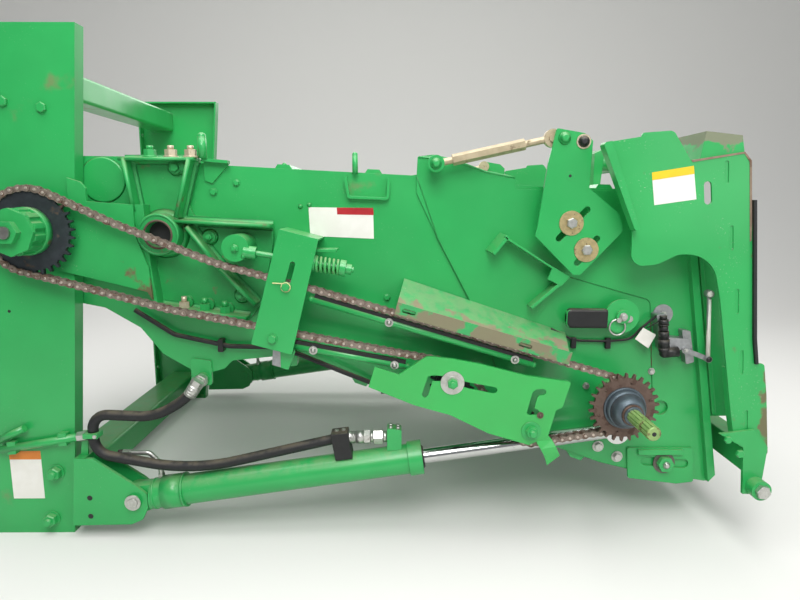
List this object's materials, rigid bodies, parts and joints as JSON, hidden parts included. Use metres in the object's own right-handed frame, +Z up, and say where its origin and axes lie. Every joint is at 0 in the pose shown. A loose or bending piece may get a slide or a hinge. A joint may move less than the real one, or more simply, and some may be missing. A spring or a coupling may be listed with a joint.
{
  "type": "combine feeder house",
  "caption": "Combine feeder house with slatted conveyor, roller chain header drive, tilting face frame and lift cylinders, hung on two frame posts.",
  "frame": {"origin": "middle of the four bolt holes in the rear flanges of the two front frame posts", "axes": "+X forward to the header, +Y to the machine's left, +Z up"},
  "size_m": [2.5988, 2.11, 1.65],
  "materials": {
    "green_paint": "gloss",
    "shaft_steel": "satin",
    "worn_steel": "matte",
    "chain_steel": "matte",
    "rod_chrome": "gloss",
    "hose_rubber": "satin",
    "black_plastic": "matte"
  },
  "bodies": {
    "front_frame": {"cylinder_anchor_left": "green_paint", "cylinder_anchor_right": "green_paint", "lower_beam": "green_paint", "pivot_seat_left": "green_paint", "pivot_seat_right": "green_paint", "post_left": "green_paint", "post_right": "green_paint", "upper_beam": "green_paint"},
    "upper_shaft": {"upper_shaft": "shaft_steel", "rear_sprocket": "worn_steel", "slip_clutch": "green_paint", "drive_pulley": "green_paint"},
    "header_shaft": {"header_shaft": "shaft_steel", "front_sprocket": "worn_steel"},
    "front_drum": {"front_drum": "worn_steel"},
    "face_frame": {"face_bottom_beam": "green_paint", "face_foot_left": "green_paint", "face_foot_right": "green_paint", "face_side_left": "green_paint", "face_side_right": "green_paint", "face_top_beam": "green_paint"},
    "barrel_right": {"lift_barrel_right": "green_paint", "lift_hose_right": "hose_rubber"},
    "barrel_left": {"lift_barrel_left": "green_paint", "lift_hose_left": "hose_rubber"},
    "rod_right": {"lift_rod_right": "rod_chrome"},
    "rod_left": {"lift_rod_left": "rod_chrome"},
    "feeder": {"adjuster_plate_left": "green_paint", "adjuster_plate_right": "green_paint", "casting_left": "green_paint", "casting_right": "green_paint", "chain_guides": "green_paint", "chain_tensioner": "green_paint", "conveyor": "worn_steel", "drive_chain": "chain_steel", "drum_bearing_left": "green_paint", "drum_bearing_right": "green_paint", "feeder_hoses": "hose_rubber", "floor": "green_paint", "front_overlay_left": "green_paint", "front_overlay_right": "green_paint", "header_bearing_left": "green_paint", "header_bearing_right": "green_paint", "idlers": "worn_steel", "lock_lever": "black_plastic", "lower_guard": "green_paint", "pivot_arm_left": "green_paint", "pivot_arm_right": "green_paint", "pocket_plates": "green_paint", "rod_bracket_left": "green_paint", "rod_bracket_right": "green_paint", "roof": "green_paint", "sensor": "black_plastic", "side_sheet_left": "green_paint", "side_sheet_right": "green_paint", "tensioner_channel": "green_paint", "tie_rods": "green_paint", "tilt_pivot": "green_paint", "upper_shield": "green_paint", "z_brackets": "green_paint"}
  },
  "joints": [
    {"name": "feeder_lift", "type": "hinge", "parent": "front_frame", "child": "feeder", "pos_m": [0.26, 0, 0.2], "axis": [0, -1, 0], "range_deg": [-8, 18], "deforming": ["feeder_hoses"]},
    {"name": "upper_shaft_spin", "type": "hinge", "parent": "feeder", "child": "upper_shaft", "pos_m": [0.26, 0, 0.2], "axis": [0, -1, 0], "continuous": true},
    {"name": "header_shaft_spin", "type": "hinge", "parent": "feeder", "child": "header_shaft", "pos_m": [2.11, 0, -0.36], "axis": [0, -1, 0], "continuous": true},
    {"name": "front_drum_spin", "type": "hinge", "parent": "feeder", "child": "front_drum", "pos_m": [2.29, 0, -0.41], "axis": [0, -1, 0], "continuous": true},
    {"name": "face_tilt", "type": "hinge", "parent": "feeder", "child": "face_frame", "pos_m": [2.365, 0, 0.462], "axis": [0.988, 0, 0.1547], "range_deg": [-4, 4]},
    {"name": "barrel_swing_right", "type": "hinge", "parent": "front_frame", "child": "barrel_right", "pos_m": [0.508, -0.744, -0.697], "axis": [0, -1, 0], "range_deg": [-8.1, 18.1], "deforming": ["lift_hose_right"]},
    {"name": "rod_slide_right", "type": "slide", "parent": "barrel_right", "child": "rod_right", "axis": [0.99, 0, 0.1408], "range_m": [-0.12916, 0.28999]},
    {"name": "barrel_swing_left", "type": "hinge", "parent": "front_frame", "child": "barrel_left", "pos_m": [0.508, 0.744, -0.697], "axis": [0, -1, 0], "range_deg": [-8.1, 18.1], "deforming": ["lift_hose_left"]},
    {"name": "rod_slide_left", "type": "slide", "parent": "barrel_left", "child": "rod_left", "axis": [0.99, 0, 0.1408], "range_m": [-0.12916, 0.28999]}
  ],
  "couplings": [
    {"joint": "header_shaft_spin", "follows": "upper_shaft_spin", "ratio": 1.6},
    {"joint": "front_drum_spin", "follows": "upper_shaft_spin", "ratio": 0.87786},
    {"joint": "barrel_swing_right", "follows": "feeder_lift", "ratio": 1},
    {"joint": "rod_slide_right", "follows": "feeder_lift", "m_per_rad": 0.92146},
    {"joint": "barrel_swing_left", "follows": "feeder_lift", "ratio": 1},
    {"joint": "rod_slide_left", "follows": "feeder_lift", "m_per_rad": 0.92146}
  ]
}
